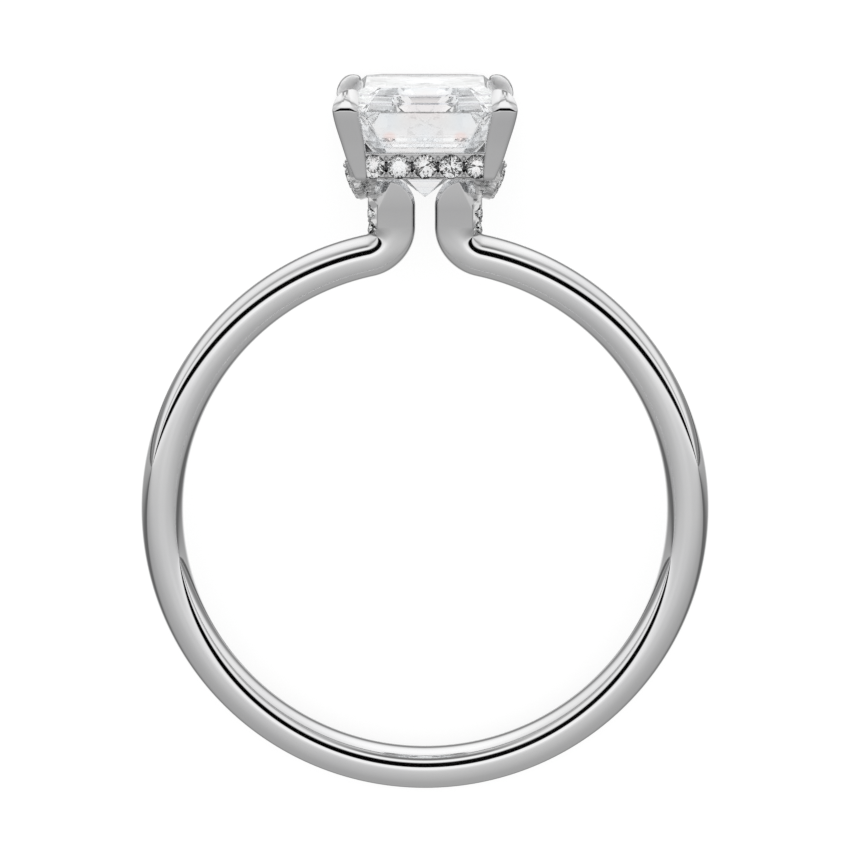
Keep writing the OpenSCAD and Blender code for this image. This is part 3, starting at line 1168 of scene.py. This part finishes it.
MIDDLE = studio_ramp([
    (-180, 1.10), (-168, 0.90), (-157, 0.60), (-151, 0.32), (-142, 0.26), (-135, 0.42),
    (-90, 0.46), (-30, 0.62), (-10, 0.70), (0, 0.86), (8, 1.14), (16, 1.04),
    (20, 1.10), (24, 0.0), (50, 0.0), (55, 0.9), (58, 1.15), (65, 1.1), (70, 0.40),
    (74, 0.12), (80, 0.30), (87, 0.75), (96, 1.05), (118, 1.2), (135, 1.15),
    (146, 0.9), (153, 0.35), (165, 0.22), (170, 0.5), (174, 1.0), (180, 1.10)])
SIDES = studio_ramp([
    (-180, 0.50), (-170, 0.36), (-160, 0.16), (-146, 0.14), (-136, 0.36), (-120, 0.44),
    (-90, 0.46), (-60, 0.50), (-30, 0.57), (-10, 0.66), (0, 0.74), (10, 0.94),
    (17, 1.0), (22, 0.0), (46, 0.0), (51, 0.75), (58, 1.0), (75, 0.92), (84, 0.4),
    (92, 0.5), (102, 0.85), (120, 1.0), (138, 0.98), (150, 0.80), (158, 0.38),
    (170, 0.24), (180, 0.50)])
CLEAR = studio_ramp([
    (-180, 1.0), (-158, 0.95), (-150, 0.60), (-142, 0.60), (-134, 0.85), (-90, 0.85),
    (-20, 0.92), (10, 1.0), (25, 1.0), (28, 0.30), (44, 0.30), (47, 1.0),
    (62, 1.0), (70, 0.80), (80, 0.80), (92, 0.90), (110, 1.0), (180, 1.0)])
side = nt.nodes.new("ShaderNodeMath")
side.operation = "ABSOLUTE"
nt.links.new(sep.outputs["X"], side.inputs[0])
aside = nt.nodes.new("ShaderNodeMapRange")
aside.interpolation_type = "SMOOTHSTEP"
aside.inputs["From Min"].default_value = 0.2
aside.inputs["From Max"].default_value = 0.65
nt.links.new(side.outputs["Value"], aside.inputs["Value"])
blend = nt.nodes.new("ShaderNodeMix")
blend.data_type = "RGBA"
nt.links.new(aside.outputs["Result"], blend.inputs["Factor"])
nt.links.new(MIDDLE.outputs["Color"], blend.inputs["A"])
nt.links.new(SIDES.outputs["Color"], blend.inputs["B"])
# one thin line low behind the ring, which draws the far edge of the stone's table
line = nt.nodes.new("ShaderNodeMapRange")
line.inputs["From Min"].default_value = math.radians(175.52)
line.inputs["From Max"].default_value = math.radians(175.57)
line.inputs["To Min"].default_value = 1.0
line.inputs["To Max"].default_value = 0.3
nt.links.new(at.outputs["Value"], line.inputs["Value"])
lined = nt.nodes.new("ShaderNodeMix")
lined.data_type = "RGBA"
lined.blend_type = "MULTIPLY"
lined.inputs["Factor"].default_value = 1.0
nt.links.new(blend.outputs["Result"], lined.inputs["A"])
nt.links.new(line.outputs["Result"], lined.inputs["B"])
path = nt.nodes.new("ShaderNodeLightPath")
dome = nt.nodes.new("ShaderNodeBackground")
dome.inputs["Color"].default_value = (1, 1, 1, 1)
dome.inputs["Strength"].default_value = 1.0
studio = nt.nodes.new("ShaderNodeBackground")
nt.links.new(lined.outputs["Result"], studio.inputs["Color"])
mix = nt.nodes.new("ShaderNodeMixShader")
nt.links.new(path.outputs["Is Glossy Ray"], mix.inputs["Fac"])
nt.links.new(dome.outputs["Background"], mix.inputs[1])
nt.links.new(studio.outputs["Background"], mix.inputs[2])
through = nt.nodes.new("ShaderNodeBackground")
nt.links.new(CLEAR.outputs["Color"], through.inputs["Color"])
last = nt.nodes.new("ShaderNodeMixShader")
nt.links.new(path.outputs["Is Transmission Ray"], last.inputs["Fac"])
nt.links.new(mix.outputs["Shader"], last.inputs[1])
nt.links.new(through.outputs["Background"], last.inputs[2])
nt.links.new(last.outputs["Shader"], out.inputs["Surface"])

scene = bpy.context.scene
scene.view_settings.view_transform = "Standard"
scene.view_settings.look = "None"
scene.cycles.max_bounces = 48
scene.cycles.transmission_bounces = 40
scene.cycles.glossy_bounces = 32
scene.cycles.caustics_refractive = False
scene.cycles.caustics_reflective = False

# ------------------------------------------------------------------- camera
E = math.radians(9)
C = Vector((0, math.sin(E), math.cos(E)))
UP = Vector((0, math.cos(E), -math.sin(E)))
eye = UP * 2.92 + C * 150.0
loc = to_world([tuple(eye)])[0]
x_axis, y_axis, z_axis = Vector((1, 0, 0)), turn(UP), turn(C)
rot = Matrix((x_axis, y_axis, z_axis)).transposed()
cam_data = bpy.data.cameras.new("camera")
cam_data.sensor_width = 36.0
cam_data.lens = 4395.0 / 850.0 * 36.0
cam_data.clip_start = 0.001
cam_data.clip_end = 10.0
cam = bpy.data.objects.new("camera", cam_data)
bpy.context.scene.collection.objects.link(cam)
cam.matrix_world = Matrix.Translation(Vector(loc)) @ rot.to_4x4()
scene.camera = cam
